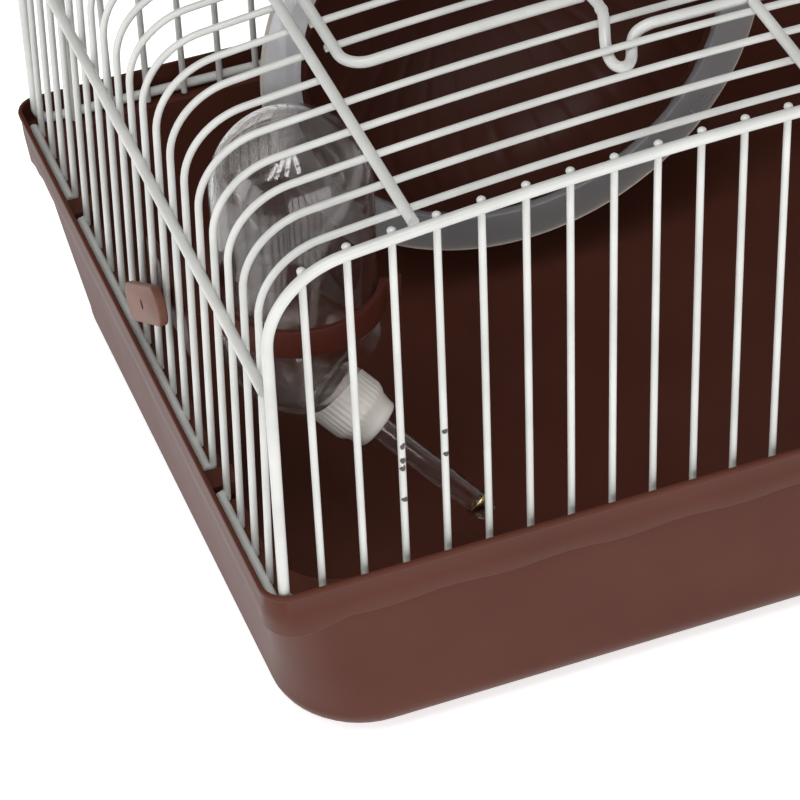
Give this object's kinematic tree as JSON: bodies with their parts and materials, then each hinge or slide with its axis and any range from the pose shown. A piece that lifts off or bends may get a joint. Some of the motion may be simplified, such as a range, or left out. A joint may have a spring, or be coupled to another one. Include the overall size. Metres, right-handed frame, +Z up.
{
  "type": "hamster cage",
  "caption": "Small hamster cage: deep brown plastic tub with a lift-off white wire top, roof door, clear-rimmed wheel and a clipped drinking bottle.",
  "frame": {"origin": "centre of the bounding box, on the plane the tub stands on", "axes": "+X along the length with the bottle at the -X end, +Y from the front panel to the back panel, +Z up"},
  "size_m": [0.2692, 0.2018, 0.1606],
  "materials": {
    "wire_white": "white enamel dip, slightly glossy",
    "tub_brown": "moulded brown plastic with a soft sheen",
    "clip_brown": "moulded brown plastic",
    "wheel_clear": "smoky translucent plastic",
    "bottle_clear": "clear polished plastic",
    "cap_milky": "milky translucent plastic",
    "gasket": "soft rubber",
    "steel": "bright steel",
    "brass": "polished brass"
  },
  "bodies": {
    "tub": {"base_tub": "tub_brown"},
    "top": {"front_grid": "wire_white", "back_grid": "wire_white", "left_wall_grid": "wire_white", "right_wall_grid": "wire_white", "left_shoulder_grid": "wire_white", "right_shoulder_grid": "wire_white", "roof_front_grid": "wire_white", "roof_back_grid": "wire_white", "roof_edge_hoop": "wire_white", "door_ring_left": "steel", "door_ring_right": "steel", "wheel_bolt": "steel", "wheel_bracket": "clip_brown", "wheel_back_nut": "clip_brown", "bottle_clip": "clip_brown", "knob_pin": "steel"},
    "door": {"roof_door": "wire_white", "door_latch_bow": "wire_white"},
    "wheel": {"wheel_bowl": "clip_brown", "wheel_rim": "wheel_clear"},
    "knob": {"turn_knob": "clip_brown"},
    "bottle": {"bottle_body": "bottle_clear"},
    "cap": {"bottle_cap": "cap_milky", "cap_gasket": "gasket", "spout_tube": "bottle_clear", "spout_ring": "brass"},
    "ball": {"spout_ball": "steel"}
  },
  "joints": [
    {"name": "top_lift", "type": "slide", "parent": "tub", "child": "top", "axis": [0, 0, 1], "range_m": [0, 0.11]},
    {"name": "door_hinge", "type": "hinge", "parent": "top", "child": "door", "pos_m": [0, 0.0634, 0.15695], "axis": [-1, 0, 0], "range_deg": [0, 110], "deforming": ["door_latch_bow"]},
    {"name": "wheel_spin", "type": "hinge", "parent": "top", "child": "wheel", "pos_m": [-0.014, 0.085, 0.0855], "axis": [0, 1, 0], "continuous": true},
    {"name": "knob_turn", "type": "hinge", "parent": "top", "child": "knob", "pos_m": [-0.1329, -0.0135, 0.0823], "axis": [1, 0, 0], "range_deg": [-55, 35]},
    {"name": "bottle_slide", "type": "slide", "parent": "top", "child": "bottle", "axis": [0, 0, 1], "range_m": [-0.012, 0.012]},
    {"name": "cap_turn", "type": "hinge", "parent": "bottle", "child": "cap", "pos_m": [-0.0946, -0.0298, 0.0561], "axis": [0.6189, -0.4799, -0.6219], "continuous": true},
    {"name": "ball_slide", "type": "slide", "parent": "cap", "child": "ball", "axis": [-0.6189, 0.4799, 0.6219], "range_m": [0, 0.004]}
  ]
}
